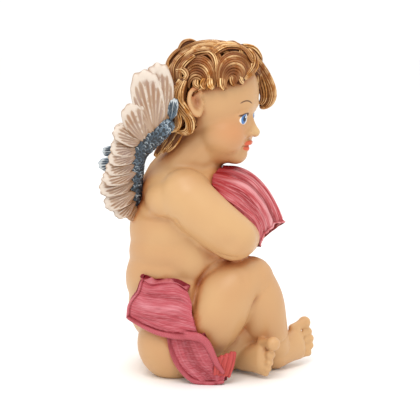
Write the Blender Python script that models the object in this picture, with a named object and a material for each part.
"""Guardian angel statue: a seated cherub with folded arms, cast in one piece in painted resin.

The figure faces -Y, its right hand is at -X and +Z is up. The origin lies under the pelvis, on the
flat underside. Pose and carving are shares of the height: a point is written as (forward, right, up)
in 150ths of the height, forward and right as the cherub itself would say it.
"""

import math

import bmesh
import bpy
import numpy as np
from mathutils import Matrix, Vector

# Driving dimensions, in metres
HEIGHT = 0.150
CLAY_GRAIN = 0.0013
CARVING_GRAIN = 0.0008

# The pose is drawn on a grid this many squares high; the origin is this far ahead of its zero
GRID = 148
UNIT = HEIGHT / GRID
SEAT_FORWARD = -12
TRIANGLES = 9400

# The head: centre of the skull, how far the face nods and turns right, and its half sizes
HEAD_CENTRE = (4.0, 0.0, 124.5)
HEAD_NOD = math.radians(6)
HEAD_TURN = math.radians(16)
SKULL = (20.0, 18.2, 20.5)
SCALP_CENTRE = (3.0, 0.0, 125.0)
SCALP = (20.0, 19.0, 20.6)

# The right wing: its arm from the back to the wrist, the small feather at the wrist, and the
# petal-like feathers behind, each from its root to its tip with its half width
WING_ARM = ((-31.6, 3.0, 71.0), (-31.6, 4.6, 75.6), (-31.0, 7.0, 81.6), (-30.6, 9.0, 88.0),
            (-30.2, 11.0, 94.2), (-28.3, 13.5, 99.9), (-24.9, 15.5, 103.8), (-21.4, 17.5, 107.0),
            (-17.6, 19.0, 110.2), (-14.6, 20.0, 113.2))
WING_ARM_WIDTHS = (1.9, 2.6, 3.1, 3.3, 3.5, 3.8, 4.0, 3.7, 3.2, 2.3)
WRIST_FEATHER = ((-14.6, 20.0, 113.8), (-13.6, 20.3, 119.1), (-12.9, 20.2, 122.8))
FEATHERS = (((-17.4, 17.5, 108.0), (-20.2, 20.6, 138.6), 6.0),
            ((-21.6, 17.0, 106.0), (-26.4, 21.0, 135.8), 7.0),
            ((-24.6, 15.5, 103.0), (-31.4, 21.0, 121.8), 6.8),
            ((-26.8, 14.5, 103.6), (-39.8, 20.4, 109.6), 4.0),
            ((-28.0, 14.0, 101.4), (-40.8, 19.6, 101.8), 3.8),
            ((-29.2, 13.0, 98.4), (-42.0, 18.8, 96.8), 3.6),
            ((-29.8, 12.0, 94.6), (-43.0, 18.0, 92.2), 3.6),
            ((-30.2, 11.0, 90.2), (-44.6, 17.0, 88.0), 3.9),
            ((-30.4, 9.5, 86.4), (-46.0, 15.4, 83.2), 4.3),
            ((-30.6, 8.0, 81.2), (-44.1, 13.0, 76.0), 4.2),
            ((-30.6, 6.5, 77.2), (-40.0, 10.6, 71.6), 3.9),
            ((-31.0, 5.0, 74.6), (-34.3, 7.6, 68.9), 3.2))
FEATHER_THICKNESS = 1.5

# The left wing stands a little lower than the right one and is turned further back; two of its
# small feathers reach out further
LEFT_WING_TURN = math.radians(6)
LEFT_WING_RISE = 0.93
LEFT_COVERTS = (((-37.0, -12.0, 97.4), (-46.8, -15.0, 96.4), 2.5),
                ((-36.6, -11.0, 92.2), (-48.6, -14.0, 90.4), 3.1))


def clear_scene():
    """Remove what the scene holds."""
    for existing in list(bpy.data.objects):
        bpy.data.objects.remove(existing)


def smooth_path(points, count):
    """A smooth curve through the points, sampled evenly; the points may be of any dimension."""
    points = np.array(points, float)
    if points.ndim == 1:
        points = points[:, None]
    last = len(points) - 1
    along = np.linspace(0, last, count)
    start = np.clip(along.astype(int), 0, last - 1)
    share = (along - start)[:, None]
    before, here = points[np.maximum(start - 1, 0)], points[start]
    after, beyond = points[start + 1], points[np.minimum(start + 2, last)]
    return 0.5 * (2 * here + (after - before) * share
                  + (2 * before - 5 * here + 4 * after - beyond) * share**2
                  + (3 * here - before - 3 * after + beyond) * share**3)


def unit_rows(rows):
    """Each row at length one."""
    return rows / np.maximum(np.linalg.norm(rows, axis=1, keepdims=True), 1e-9)


def on_head(point):
    """A point given from the centre of the skull, carried to the nodding, turned head."""
    forward, right, up = point
    ahead = forward * math.cos(HEAD_NOD) + up * math.sin(HEAD_NOD)
    return (HEAD_CENTRE[0] + ahead * math.cos(HEAD_TURN) - right * math.sin(HEAD_TURN),
            HEAD_CENTRE[1] + ahead * math.sin(HEAD_TURN) + right * math.cos(HEAD_TURN),
            HEAD_CENTRE[2] + up * math.cos(HEAD_NOD) - forward * math.sin(HEAD_NOD))


def sided(point, side):
    """A point on the right of the head, or its mirror image in the turned head's middle plane."""
    if side > 0:
        return point
    forward, right = point[0] - HEAD_CENTRE[0], point[1] - HEAD_CENTRE[1]
    ahead = forward * math.cos(HEAD_TURN) + right * math.sin(HEAD_TURN)
    aside = forward * math.sin(HEAD_TURN) - right * math.cos(HEAD_TURN)
    return (HEAD_CENTRE[0] + ahead * math.cos(HEAD_TURN) - aside * math.sin(HEAD_TURN),
            HEAD_CENTRE[1] + ahead * math.sin(HEAD_TURN) + aside * math.cos(HEAD_TURN), point[2])


def on_scalp(forward, up, lift=1.5):
    """The point of the scalp that shows at this place in a view from the right, raised by lift."""
    away = [(value - middle) / (half + lift) for value, middle, half
            in zip((forward, up), SCALP_CENTRE[::2], SCALP[::2])]
    right = (SCALP[1] + lift) * math.sqrt(max(0.02, 1 - away[0]**2 - away[1]**2))
    return (forward, right, up)


def round_scalp(azimuth, elevation, lift=1.5):
    """The point of the scalp at an azimuth, 0 in front and 90 on the right, and an elevation."""
    azimuth, elevation = math.radians(azimuth), math.radians(elevation)
    way = (math.cos(azimuth) * math.cos(elevation), math.sin(azimuth) * math.cos(elevation),
           math.sin(elevation))
    return tuple(middle + (half + lift) * share
                 for middle, half, share in zip(SCALP_CENTRE, SCALP, way))


class Clay:
    """Lumps of the sculpture, heaped over each other before they are fused."""

    def __init__(self, *starts):
        self.mesh = bmesh.new()
        for start in starts:
            self.mesh.from_mesh(start)

    def ball(self, centre, radii, turn=0.0):
        """An ellipsoid, its front turned right by an angle."""
        half = Vector((radii[1], radii[0], radii[2]))
        place = (Matrix.Translation(Vector((-centre[1], -centre[0], centre[2])))
                 @ Matrix.Rotation(-turn, 4, "Z") @ Matrix.Diagonal(half.to_4d()))
        bmesh.ops.create_icosphere(self.mesh, subdivisions=3, radius=1.0, matrix=place)

    def rings(self, rings, start, end):
        """A closed skin over a row of rings and its two end points."""
        loops = [[self.mesh.verts.new((-p[1], -p[0], p[2])) for p in ring] for ring in rings]
        around = len(loops[0])
        for one, two in zip(loops, loops[1:]):
            for k in range(around):
                self.mesh.faces.new((one[k], one[(k + 1) % around], two[(k + 1) % around], two[k]))
        for loop, point, turn in ((loops[0], start, 1), (loops[-1], end, 0)):
            tip = self.mesh.verts.new((-point[1], -point[0], point[2]))
            for k in range(around):
                pair = (loop[k], loop[(k + 1) % around])
                self.mesh.faces.new((tip, *(pair[::-1] if turn else pair)))

    def limb(self, points, widths, depths=None, facing=(0, 0, 1), around=12, along=14):
        """A round-ended form swept along the points; depths lie along facing, widths across it."""
        depths = widths if depths is None else depths
        facing = np.array(facing, float)
        if facing.ndim == 1:
            facing = np.repeat(facing[None], len(points), axis=0)
        path, out = smooth_path(points, along), smooth_path(facing, along)
        wide, deep = smooth_path(widths, along)[:, 0], smooth_path(depths, along)[:, 0]
        ahead = unit_rows(np.gradient(path, axis=0))
        out = unit_rows(out - (out * ahead).sum(1, keepdims=True) * ahead)
        across = np.cross(ahead, out)
        turns = np.linspace(0, 2 * math.pi, around, endpoint=False)[:, None]

        def ring(row, scale, shift):
            reach = min(wide[row], deep[row])
            middle = path[row] + ahead[row] * shift * reach
            return (middle + np.cos(turns) * across[row] * wide[row] * scale
                    + np.sin(turns) * out[row] * deep[row] * scale)

        rings = [ring(0, math.sin(a), -math.cos(a)) for a in (math.pi / 6, math.pi / 3)]
        rings += [ring(row, 1, 0) for row in range(along)]
        rings += [ring(-1, math.sin(a), math.cos(a)) for a in (math.pi / 3, math.pi / 6)]
        start = path[0] - ahead[0] * min(wide[0], deep[0])
        end = path[-1] + ahead[-1] * min(wide[-1], deep[-1])
        self.rings(rings, start, end)

    def sheet(self, grid, thickness):
        """A slab whose outer face is the grid; thickness is taken from its inner side."""
        grid = np.array(grid, float)
        slope = np.cross(np.gradient(grid, axis=0), np.gradient(grid, axis=1))
        inner = grid - slope / np.linalg.norm(slope, axis=2, keepdims=True) * thickness
        rows, columns = grid.shape[:2]
        skins = [[[self.mesh.verts.new((-p[1], -p[0], p[2])) for p in row] for row in skin]
                 for skin in (grid, inner)]
        for skin, turn in zip(skins, (1, -1)):
            for i in range(rows - 1):
                for j in range(columns - 1):
                    corners = (skin[i][j], skin[i + 1][j], skin[i + 1][j + 1], skin[i][j + 1])
                    self.mesh.faces.new(corners[::turn])
        edge = [(i, 0) for i in range(rows)] + [(rows - 1, j) for j in range(1, columns)]
        edge += [(i, columns - 1) for i in range(rows - 2, -1, -1)]
        edge += [(0, j) for j in range(columns - 2, 0, -1)]
        for (a, b), (c, d) in zip(edge, edge[1:] + edge[:1]):
            self.mesh.faces.new((skins[0][c][d], skins[0][a][b], skins[1][a][b], skins[1][c][d]))

    def fused(self, grain, softening, factor=0.5):
        """The lumps fused to one skin of the given grain, with its creases softened."""
        mesh = bpy.data.meshes.new("lumps")
        bmesh.ops.recalc_face_normals(self.mesh, faces=self.mesh.faces)
        self.mesh.to_mesh(mesh)
        self.mesh.free()
        work = bpy.data.objects.new("lumps", mesh)
        bpy.context.scene.collection.objects.link(work)
        remesh = work.modifiers.new("fuse", "REMESH")
        remesh.mode = "VOXEL"
        remesh.voxel_size = grain / UNIT
        smooth = work.modifiers.new("soften", "SMOOTH")
        smooth.factor = factor
        smooth.iterations = softening
        bpy.context.view_layer.update()
        graph = bpy.context.evaluated_depsgraph_get()
        result = bpy.data.meshes.new_from_object(work.evaluated_get(graph))
        bpy.data.objects.remove(work)
        return result


def model_trunk(clay):
    """Pelvis, belly, chest, shoulders, neck, arms and the masses of the head."""
    clay.ball((-14.5, 0, 29.5), (20.3, 25, 20.5))
    clay.ball((-15, 0, 42), (21.0, 21.5, 20))
    clay.ball((-14.2, 0, 54), (20.2, 20.4, 17))
    clay.ball((-14, 0, 64), (20.2, 20, 20))
    clay.ball((-12.5, 0, 82), (16.5, 20, 13.5))
    clay.ball((0, 0, 85), (11, 15, 8.5))
    clay.limb([(-14, 0, 85), (-7, 0, 94.5), (1, 0, 104)], [13.5, 12.3, 12])
    clay.ball((-13, 0, 10.5), (13, 14, 14))
    clay.ball((2, 0, 50), (16, 19.5, 14))
    clay.ball((8, 4, 18), (20, 14, 19))
    for side in (1, -1):
        clay.ball((-14, side * 13.3, 14.6), (16.2, 15.2, 17))
        clay.ball((-12, side * 13, 33), (15, 13.5, 14))
        clay.ball((-8.5, side * 17, 80.5), (12, 11.3, 12.3))
        clay.ball((-14, side * 11.5, 79), (12.5, 12.5, 10.5))
        clay.ball((-7, side * 8.5, 52), (14.5, 13.5, 17))
    clay.limb([(-7.5, 18, 79.5), (0, 20.5, 73), (7, 21.5, 67.3), (12.6, 21, 63)],
              [11.8, 11.2, 10.8, 10.3])
    clay.limb([(12.6, 21, 63), (16, 13, 62), (17.2, 3, 61.5), (18, -5, 60.5)],
              [10.2, 8.4, 6.6, 4.8])
    clay.limb([(-7.5, -18, 79.5), (1, -20.8, 73), (8, -22, 67.5), (13.5, -21, 63.5)],
              [11.8, 11, 10.4, 9.6])
    clay.limb([(13.5, -21, 63.5), (18, -13.5, 66), (21, -5, 69), (22, 3, 71)],
              [9.4, 8.2, 6.6, 5.2])
    model_head_mass(clay)


def model_right_thigh(clay):
    """The right thigh, drawn up."""
    clay.limb([(-6, 15, 19), (1.5, 16.5, 24.5), (6.3, 17, 31), (10.5, 16.5, 37.5), (15.5, 15, 42),
               (20.3, 13, 43)], [14.5, 15, 15, 14, 12.4, 10.4], [14.5, 14.2, 13.8, 13.2, 11.8, 10.5],
              around=16)


def model_left_thigh(clay):
    """The left thigh, a little lower."""
    clay.limb([(-6, -15, 19), (1, -16.5, 24), (5.5, -17, 29.5), (9.5, -16.5, 34.5), (14, -15, 38.5),
               (17.5, -13, 39)], [14.5, 15, 15, 14, 12.2, 10.3], [14.5, 14, 13.4, 12.6, 11.2, 10.3],
              around=16)


def model_right_calf(clay):
    """The right calf, down to its ankle."""
    clay.limb([(20.3, 13, 42.5), (23.6, 11.4, 33.5), (26.2, 8.8, 23), (31.0, 5, 11)],
              [10.3, 11.2, 10.6, 7.4], around=16)


def model_left_calf(clay):
    """The left calf, crossed under the right one."""
    clay.limb([(17.5, -13, 38.5), (21, -9.5, 27), (20, -2, 17), (18, 6, 10.5)],
              [10.3, 10, 8.8, 7.4], around=16)


def model_head_mass(clay):
    """Skull, face, cheeks and chin, on an infant's proportions."""
    clay.ball(on_head((0, 0, 0)), SKULL)
    clay.ball(on_head((5.6, 0, -12.5)), (13.4, 14.8, 13.8), HEAD_TURN)
    clay.ball(on_head((12.6, 0, -25.4)), (5.4, 6.6, 5.0), HEAD_TURN)
    clay.ball(on_head((4.5, 0, -22.3)), (12, 12.5, 9.0), HEAD_TURN)
    for side in (1, -1):
        clay.ball(on_head((7.6, side * 6.8, -17.0)), (10.4, 9.4, 9.6), HEAD_TURN)


def model_face(clay):
    """Nose, lips, eyes with their lids, and ears."""
    clay.limb([on_head(p) for p in ((17.0, 0, -6.4), (17.9, 0, -9.6), (19.2, 0, -12.8), (20.4, 0, -14.9))],
              [1.4, 1.5, 1.9, 2.4])
    for side in (1, -1):
        clay.ball(on_head((18.3, side * 2.2, -15.8)), (1.9, 1.6, 1.4), HEAD_TURN)
        clay.limb([on_head(p) for p in ((16.2, side * 4.2, -20.4), (17.8, side * 2.0, -19.9),
                                        (18.5, 0, -20.0))], [0.6, 1.1, 1.2])
        clay.ball(on_head((13.2, side * 7.0, -8.9)), (4.6, 4.5, 4.2), HEAD_TURN)
        clay.limb([on_head(p) for p in ((14.2, side * 11.3, -9.0), (17.0, side * 8.8, -5.8),
                                        (17.6, side * 5.6, -5.8), (16.9, side * 3.4, -8.4))],
                  [0.6, 0.9, 0.9, 0.6])
        model_ear(clay, side)
    clay.limb([on_head(p) for p in ((16.0, -3.4, -22.0), (17.9, 0, -22.8), (16.0, 3.4, -22.0))],
              [0.7, 1.3, 0.7])


def model_ear(clay, side):
    """One ear: a cupped shell, its rim and its lobe."""
    clay.ball(sided((-3.9, 17.6, 122), side), (2.9, 1.8, 5.0), side * 0.2)
    rim = ((-1.4, 18.6, 125.8), (-2.6, 19.4, 127.8), (-4.8, 20.2, 127.6), (-6.6, 20.6, 125.0),
           (-6.6, 20.4, 121.4), (-5.2, 19.8, 118.4), (-3.2, 19.0, 116.9), (-1.6, 18.2, 118.6))
    clay.limb([sided(p, side) for p in rim], [0.9, 1.1, 1.2, 1.2, 1.3, 1.6, 1.9, 1.2], along=22)


def model_foot(clay, heel, toward, medial, toes):
    """One foot from its heel: toward points to the toes, medial to the big toe's side.

    Each toe is how far it stands to the medial side, the reach of its root, its length and radius.
    """
    toward = unit_rows(np.array([toward], float))[0]
    medial = np.array(medial, float)
    medial = unit_rows((medial - toward * (medial @ toward))[None])[0]
    heel = np.array(heel, float)
    clay.limb([heel, heel + toward * 7, heel + toward * 13], [6.7, 6.8, 7.9], [6.7, 5.6, 4.6],
              facing=np.cross(toward, medial))
    for aside, reach, length, radius in toes:
        root = heel + toward * reach + medial * aside
        clay.limb([root, root + toward * length], [radius * 0.9, radius], around=10, along=4)


def model_feet(clay):
    """The right foot ahead, toes out, and the left one tucked under the right thigh."""
    model_foot(clay, (31.4, 3.8, 6.6), (0.79, -0.56, 0.24), (-0.35, 0.1, 1),
               ((7.6, 13.0, 6.8, 2.8), (2.9, 14.6, 5.8, 2.0), (-0.5, 14.6, 6.0, 1.9),
                (-3.6, 14.0, 5.6, 1.8), (-6.3, 12.6, 5.0, 1.7)))
    clay.ball((42.2, -3.6, 12.4), (2.8, 2.6, 2.6))
    model_foot(clay, (18.0, 9.6, 7.2), (0.58, 0.80, 0.12), (-0.05, -0.1, 1),
               ((7.2, 12.4, 8.0, 3.0), (2.2, 12.6, 5.6, 2.1), (-1.2, 11.8, 5.2, 1.9),
                (-4.0, 11.0, 4.6, 1.8), (-6.2, 10.0, 4.0, 1.6)))


def model_hand(clay, wrist, toward, across):
    """One resting hand: palm, four fingers and a thumb."""
    wrist, toward, across = (np.array(v, float) for v in (wrist, toward, across))
    palm = wrist + toward * 4
    clay.limb([wrist, palm], [4.6, 5.4], [3.6, 3.2], facing=np.cross(toward, across))
    for offset, length in ((-4.2, 5.6), (-1.5, 7.0), (1.3, 7.2), (4.0, 6.2)):
        root = palm + toward * 3 + across * offset
        tip = root + toward * length - np.array((0, 0, 2.2))
        clay.limb([root, (root + tip) / 2 + np.array((0, 0, 0.8)), tip], [1.9, 1.8, 1.6], along=6)
    clay.limb([wrist + across * 4, palm + across * 6.5 + toward * 1.5], [2.1, 1.7], along=5)


def lock(clay, points, width, depth=2.6):
    """One lock of hair over the head, thick at its middle and thin at its tip."""
    facing = [np.array(p) - np.array(SCALP_CENTRE) for p in points]
    shares = np.linspace(0, 1, len(points))
    swell = [0.45 + 0.55 * math.sin(math.pi * min(1, 0.22 + 0.78 * s)) for s in shares]
    clay.limb(points, [width * s for s in swell], [depth * s for s in swell], facing=facing,
              around=8, along=14)


def side_locks():
    """The waves over one temple, each with its width, depth, lift and places in a side view."""
    return (
        (3.0, 3.2, 1.9, ((-7.3, 129.6), (-7.6, 135.2), (-5.1, 138.9), (-1.5, 139.4), (1.7, 136.6), (3.2, 131.4))),
        (2.2, 2.6, 1.3, ((-4.3, 129.8), (-4.3, 133.2), (-2.4, 135.5), (-0.2, 134.4), (1.0, 131.4), (1.6, 128.4))),
        (3.0, 3.2, 2.1, ((6.1, 129.6), (5.4, 135.1), (7.0, 139.4), (10.6, 140.8), (14.8, 139.4), (17.2, 136.2),
                         (16.2, 132.4))),
        (2.2, 2.6, 1.5, ((8.0, 129.0), (8.0, 133.6), (10.1, 136.6), (12.8, 135.9), (13.6, 132.8), (12.8, 130.6))),
        (3.2, 2.4, 1.2, ((-8.6, 137.6), (-6.0, 141.0), (-2.2, 143.4), (2.0, 144.3), (6.2, 143.6), (9.6, 141.8))),
        (3.0, 2.4, 0.9, ((-13.0, 138.4), (-9.0, 142.2), (-3.6, 144.6), (2.0, 145.4), (8.0, 145.0))),
        (2.6, 2.4, 1.4, ((5.6, 144.6), (9.6, 144.6), (13.2, 143.8), (15.6, 141.4), (14.6, 139.4))),
        (2.8, 2.6, 1.4, ((14.6, 143.4), (18.2, 141.2), (20.2, 137.6), (19.0, 134.0), (16.4, 131.6))),
        (2.8, 2.6, 1.0, ((-8.0, 143.8), (-12.3, 140.6), (-15.2, 136.4), (-15.6, 131.6))),
        (2.8, 2.6, 1.5, ((-5.6, 142.6), (-9.9, 139.4), (-12.4, 135.4), (-12.8, 130.4), (-11.6, 127.6))),
        (2.4, 2.4, 1.8, ((-4.4, 140.6), (-8.2, 137.4), (-10.2, 133.6), (-10.2, 129.2))),
    )


def ear_locks():
    """The locks behind one ear and down the nape, each with its width."""
    return (
        (2.7, ((-9.4, 17.9, 130.4), (-11.9, 18, 125.6), (-11.0, 18, 121.2), (-8.0, 18, 117.6),
               (-6.0, 17.6, 114.4), (-6.1, 16.6, 110.6), (-9.0, 15.4, 108.8), (-12.8, 14, 109.6))),
        (2.4, ((-12.4, 17.2, 128.6), (-13.7, 16.8, 123.8), (-11.9, 16.9, 119.2), (-10.6, 16.8, 115.2),
               (-11.4, 16, 111.5), (-14.4, 14.4, 109.4))),
        (2.4, ((-14.6, 14, 130), (-16.2, 13.6, 124), (-14.8, 13.8, 118), (-13.6, 13.4, 112.6),
               (-15.6, 11.6, 108.6))),
        (2.8, ((-16, 9, 131), (-18.2, 8.4, 124), (-17.6, 8.6, 117), (-16.2, 8, 110.6), (-18.8, 6, 106))),
        (2.2, ((-12.2, 12.5, 111), (-14.0, 11.5, 106.6), (-16.6, 10, 102.8), (-18.6, 8.8, 99.6))),
        (1.8, ((-9.4, 13.6, 110), (-11.4, 12.6, 106.4), (-14.2, 11.2, 102.6), (-16.4, 9.8, 100.2))),
    )


def fringe_locks():
    """The fringe, which hangs ahead of the face on its far side, each lock with its width."""
    return (
        (3.3, ((17.6, -3, 142.6), (22.2, -5.6, 138.0), (26.4, -7.6, 131.9), (29.0, -8.8, 126.0),
               (29.4, -9.4, 121.3), (27.4, -10, 118.2), (25.4, -10, 117.4))),
        (2.6, ((18.6, -2, 141.4), (22.0, -4.6, 136.2), (25.0, -6.6, 130.6), (26.6, -7.8, 125.2),
               (26.6, -8.6, 121.0), (25.2, -9.2, 119.0))),
        (2.2, ((18.8, -1, 140.6), (21.2, -3, 136.0), (23.0, -5, 131.0), (24.0, -6.4, 126.4))),
        (2.0, ((16.0, -2, 144.2), (20.2, -4, 143.0), (23.2, -6, 139.8), (24.4, -7.4, 137.4))),
        (2.8, ((14.5, -8, 141.6), (20.5, -11, 137.0), (23.6, -13, 130.0), (22.6, -14.4, 124.0),
               (20.4, -15, 121.6))),
        (2.6, ((10.5, -12, 141.0), (16.5, -15.4, 135.6), (19.0, -16.8, 129.0), (16.4, -18, 123.6))),
        (2.4, ((18.6, 2.0, 142.6), (20.8, 4.6, 139.0), (20.4, 8.0, 135.2), (18.0, 11.0, 132.2))),
    )


def model_hair(clay):
    """The cap of hair and its locks: side waves, fringe, crown, back and nape."""
    clay.ball((-0.5, 0, 131), (18.6, 19.2, 15.6))
    clay.ball((-4, 0, 119), (12.6, 15.2, 13))
    for side in (1, -1):
        for width, depth, lift, places in side_locks():
            lock(clay, [sided(on_scalp(f, z, lift), side) for f, z in places], width, depth)
        for width, points in ear_locks():
            lock(clay, [sided(p, side) for p in points], width, 2.6)
    for width, points in fringe_locks():
        lock(clay, points, width, 2.8)
    lock(clay, ((-10.8, 3, 142.8), (-8.8, 3, 145.6), (-5.6, 2.5, 146.6), (-2.6, 2, 145.6)), 2.0, 1.9)
    for tier, (top, low, start, end, count) in enumerate(((88, 40, 106, 286, 9), (58, 4, 114, 278, 10),
                                                          (22, -38, 132, 260, 8))):
        for k in range(count):
            azimuth = start + (end - start) * k / (count - 1)
            sway = 9 * math.sin(2.1 * k + tier)
            points = [round_scalp(azimuth + sway * math.sin(1.2 * m + k), top + (low - top) * m / 5,
                                  0.2 + 0.4 * tier - 0.2 * tier * tier) for m in range(6)]
            lock(clay, points, 3.2, 2.2)
    for azimuth in range(-80, 100, 36):
        points = [round_scalp(azimuth + 16 * k / 3, 88 - 13 * k, 0.2) for k in range(4)]
        lock(clay, points, 3.0, 2.0)


def petal(clay, root, tip, width, face, thickness):
    """One rounded feather, bowed out a little along face."""
    shares = np.array((0, 0.3, 0.6, 0.85, 1.0))
    bow = face * width * 0.3
    tip = tip - (tip - root) / np.linalg.norm(tip - root) * thickness
    points = [root + (tip - root) * s + bow * math.sin(math.pi * (0.15 + 0.7 * s)) for s in shares]
    swell = (0.7, 0.94, 1.0, 0.92, 0.62)
    clay.limb(points, [width * s for s in swell], [thickness] * 5, facing=face, around=10, along=11)


def model_wing(clay, side):
    """One wing: its arm, and the fan of rounded feathers behind it."""
    def turned(point):
        forward, right, up = point
        if side > 0:
            return np.array(point)
        root_forward, root_right, root_up = WING_ARM[0]
        ahead, out = forward - root_forward, right - root_right
        return np.array((root_forward + ahead * math.cos(LEFT_WING_TURN) - out * math.sin(LEFT_WING_TURN),
                         -(root_right + ahead * math.sin(LEFT_WING_TURN) + out * math.cos(LEFT_WING_TURN)),
                         root_up + (up - root_up) * LEFT_WING_RISE))

    clay.limb([turned(p) for p in WING_ARM], WING_ARM_WIDTHS, [w * 0.85 for w in WING_ARM_WIDTHS],
              along=26)
    clay.limb([turned(p) for p in WRIST_FEATHER], (2.0, 2.3, 1.0), (1.6, 1.6, 0.9), along=8)
    feathers = [(turned(root), turned(tip), width) for root, tip, width in FEATHERS]
    if side < 0:
        feathers += [(np.array(root), np.array(tip), width) for root, tip, width in LEFT_COVERTS]
    for root, tip, width in feathers:
        face = np.cross(tip - root, (-0.35, 0, 1) if width < 6 else (1, 0, 0.3))
        face = face / np.linalg.norm(face)
        petal(clay, root, tip, width, face * (side if face[1] > 0 else -side), FEATHER_THICKNESS)


def model_arm_drape(clay):
    """The cloth that the folded arms hold, from under the chin to its hem before the knees."""
    edges = (
        ((3.5, 17.8, 82.9), (7.4, 20, 79.9), (13.5, 20.5, 75.8), (19.6, 18.5, 70.4), (23.0, 16, 64.7), (23.9, 14, 57.7)),
        ((3.4, 16.8, 85.1), (8.3, 18.2, 82.7), (14.8, 18.2, 78.7), (21.0, 16, 73.1), (24.4, 14, 67.9), (25.8, 12, 62.4)),
        ((3.2, 15, 87.5), (9.2, 15, 85.8), (16.6, 14.5, 82.2), (22.8, 13, 75.8), (26.4, 11, 69.2), (27.9, 9, 63.6)),
        ((3.9, 12.4, 89.9), (10.5, 11, 88.8), (18.9, 9, 85.0), (25.2, 7.5, 78.1), (28.9, 5, 71.0), (30.6, 3, 66.3)),
        ((6.1, 8, 91.6), (12.8, 5, 91.1), (20.9, 2, 86.7), (27.2, 0, 79.7), (31.4, -2, 72.1), (33.8, -3.5, 65.3)),
        ((8.4, 2, 92.1), (14.3, -1, 91.3), (21.5, -4, 87.3), (28.1, -5.5, 80.7), (32.7, -6.5, 72.8), (35.7, -7, 65.2)),
        ((7.0, -9, 90.2), (14.5, -12, 85.6), (22.8, -13, 79.6), (29.0, -13.5, 73.4), (32.4, -13.5, 67.6), (33.2, -13.5, 63.6)),
        ((3.0, -16.5, 83.6), (9.0, -20.5, 79.6), (16.4, -22, 74.2), (22.0, -21.5, 67.8), (25.0, -20, 61.0), (26.0, -19, 56.2)))
    along = [smooth_path(edge, 15) for edge in edges]
    grid = np.array([smooth_path([row[j] for row in along], 22) for j in range(15)])
    clay.sheet(grid.transpose(1, 0, 2), 2.8)
    clay.limb([(8, 5, 81), (16, 4, 76.5), (22.5, 3, 71.5)], [7.5, 8, 7])
    clay.limb([(8, -8, 81), (17, -9, 76), (23, -9, 71.5)], [8, 7.5, 6])


def model_hip_drape(clay):
    """The cloth on the right hip: a broad flap, its twist, and the tail down to the ground."""
    flap = (((-27.3, 20, 44.9), (-23.5, 23.6, 43.4), (-18.2, 25, 44.2), (-12.5, 26, 44.0), (-8.0, 27.5, 41.6)),
            ((-29.3, 20.6, 39.0), (-23.9, 24.4, 38.0), (-17.3, 27.4, 38.2), (-10.7, 29.4, 38.4), (-5.8, 29.8, 36.0)),
            ((-33.4, 19, 32.9), (-26.5, 24.6, 32.2), (-19.4, 28.4, 32.3), (-11.6, 31, 32.2), (-5.5, 32, 30.7)),
            ((-34.3, 18.8, 26.8), (-27.0, 24, 24.9), (-19.5, 28.4, 22.8), (-10.7, 32, 21.9), (-3.0, 33.5, 21.4)))
    tail = (((-16.1, 28.4, 21.6), (-9.5, 31.0, 22.0), (-2.1, 33.4, 22.4)),
            ((-14.3, 29.4, 14.2), (-6.9, 31.2, 15.3), (1.8, 34.0, 16.2)),
            ((-11.7, 29.6, 8.1), (-3.9, 31.0, 8.6), (4.4, 33.3, 10.8)),
            ((-6.9, 30.0, 3.1), (0.9, 31.2, 4.2), (8.4, 31.8, 6.4)),
            ((-3.2, 30.4, -0.6), (2.6, 31.2, -0.6), (8.3, 31.4, 1.4)))
    clay.ball((-21, 19.5, 33), (9.5, 6.2, 9))
    for rows, thickness in ((flap, 3.4), (tail, 3.6)):
        grid = np.array([smooth_path(row, 13) for row in rows])
        grid = np.array([smooth_path(grid[:, j], 11) for j in range(13)])
        clay.sheet(grid[:, ::-1], thickness)
    clay.limb([(-33.4, 19.6, 27.0), (-27.4, 24.2, 24.6), (-20.8, 28.4, 22.6), (-14.2, 31, 21.8),
               (-7.7, 33, 21.8), (-3.4, 34.5, 21.9), (0.1, 35.2, 20.2), (2.2, 35, 17.0), (3.7, 34.4, 13.5),
               (5.2, 33.6, 9.9), (7.6, 32, 6.0)],
              [0.9, 1.0, 1.15, 1.3, 1.6, 1.9, 1.8, 1.5, 1.35, 1.25, 1.0], along=24)
    clay.limb([(-15.6, 28.0, 20.8), (-14.2, 29.0, 14.0), (-11.4, 29.4, 7.8), (-7.0, 29.8, 2.9),
               (-3.0, 30.4, 0.9), (3.0, 31.2, 0.7), (7.6, 31.4, 1.4)], [1.0, 1.2, 1.2, 1.2, 1.1, 1.0, 0.8],
              along=18)
    clay.limb([(4.6, 32.0, 7.0), (7.6, 30.4, 9.4), (10.2, 28.6, 11.4), (12.4, 27.0, 12.4)],
              [2.2, 2.9, 2.6, 1.4], [1.4, 1.7, 1.6, 1.0], facing=(0.1, 1, 0.1), along=8)
    clay.limb([(6.8, 31.2, 3.6), (9.0, 30.0, 5.8), (11.0, 28.6, 8.6), (12.2, 27.4, 10.4)],
              [1.8, 2.1, 1.9, 1.2], [1.2, 1.4, 1.3, 0.9], facing=(0.1, 1, 0.1), along=8)


def largest_shell(mesh):
    """Drop every shell of the mesh but the one with the most points."""
    shells, seen = [], set()
    for start in mesh.verts:
        if start in seen:
            continue
        shell, front = {start}, [start]
        while front:
            for edge in front.pop().link_edges:
                for point in edge.verts:
                    if point not in shell:
                        shell.add(point)
                        front.append(point)
        seen |= shell
        shells.append(shell)
    keep = max(shells, key=len)
    bmesh.ops.delete(mesh, geom=[v for v in mesh.verts if v not in keep], context="VERTS")


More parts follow.
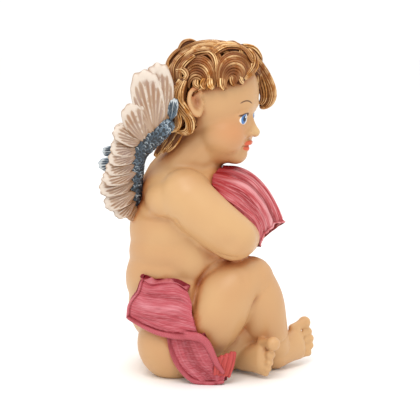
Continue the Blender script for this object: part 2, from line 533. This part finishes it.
def decimated(mesh, triangles):
    """The mesh brought down to about this many triangles, finest where it is most carved."""
    work = bpy.data.objects.new("fine", mesh)
    bpy.context.scene.collection.objects.link(work)
    decimate = work.modifiers.new("facets", "DECIMATE")
    decimate.use_collapse_triangulate = True
    decimate.ratio = min(1.0, triangles / (2 * len(mesh.polygons)))
    bpy.context.view_layer.update()
    result = bpy.data.meshes.new_from_object(
        work.evaluated_get(bpy.context.evaluated_depsgraph_get()))
    bpy.data.objects.remove(work)
    return result


def cut_flat(mesh):
    """Cut the figure flat where it sits on the ground."""
    geometry = mesh.verts[:] + mesh.edges[:] + mesh.faces[:]
    bmesh.ops.bisect_plane(mesh, geom=geometry, dist=1e-5, plane_co=(0, 0, 0), plane_no=(0, 0, -1),
                           clear_outer=True)
    bmesh.ops.holes_fill(mesh, edges=[e for e in mesh.edges if e.is_boundary], sides=0)
    bmesh.ops.triangulate(mesh, faces=mesh.faces[:])


def painted_resin():
    """The cast resin's finish: matt, skin-coloured paint."""
    material = bpy.data.materials.new("painted_resin")
    material.use_nodes = True
    shader = material.node_tree.nodes["Principled BSDF"]
    shader.inputs["Base Color"].default_value = (0.80, 0.55, 0.36, 1)
    shader.inputs["Roughness"].default_value = 0.42
    shader.inputs["Metallic"].default_value = 0.0
    return material


def main():
    """Heap up the body, fuse it, add what is carved, fuse again and cut the underside flat."""
    clear_scene()
    masses = []
    for model in (model_trunk, model_right_thigh, model_left_thigh, model_right_calf, model_left_calf):
        body = Clay()
        model(body)
        masses.append(body.fused(CLAY_GRAIN, softening=7))
    carving = Clay(*masses)
    for model in (model_face, model_feet, model_hair, model_arm_drape, model_hip_drape):
        model(carving)
    model_hand(carving, (18.0, -5.0, 60.0), (0.22, -0.95, -0.2), (0.97, 0.24, 0))
    for side in (1, -1):
        model_wing(carving, side)
    shape = bmesh.new()
    shape.from_mesh(carving.fused(CARVING_GRAIN, softening=2, factor=0.4))
    largest_shell(shape)
    fine = bpy.data.meshes.new("fine")
    shape.to_mesh(fine)
    shape.free()
    shape = bmesh.new()
    shape.from_mesh(decimated(fine, TRIANGLES))
    cut_flat(shape)
    shape.transform(Matrix.Scale(UNIT, 4) @ Matrix.Translation((0, SEAT_FORWARD, 0)))
    angel = bpy.data.meshes.new("guardian_angel")
    shape.to_mesh(angel)
    shape.free()
    angel.materials.append(painted_resin())
    bpy.context.scene.collection.objects.link(bpy.data.objects.new("guardian_angel", angel))


main()
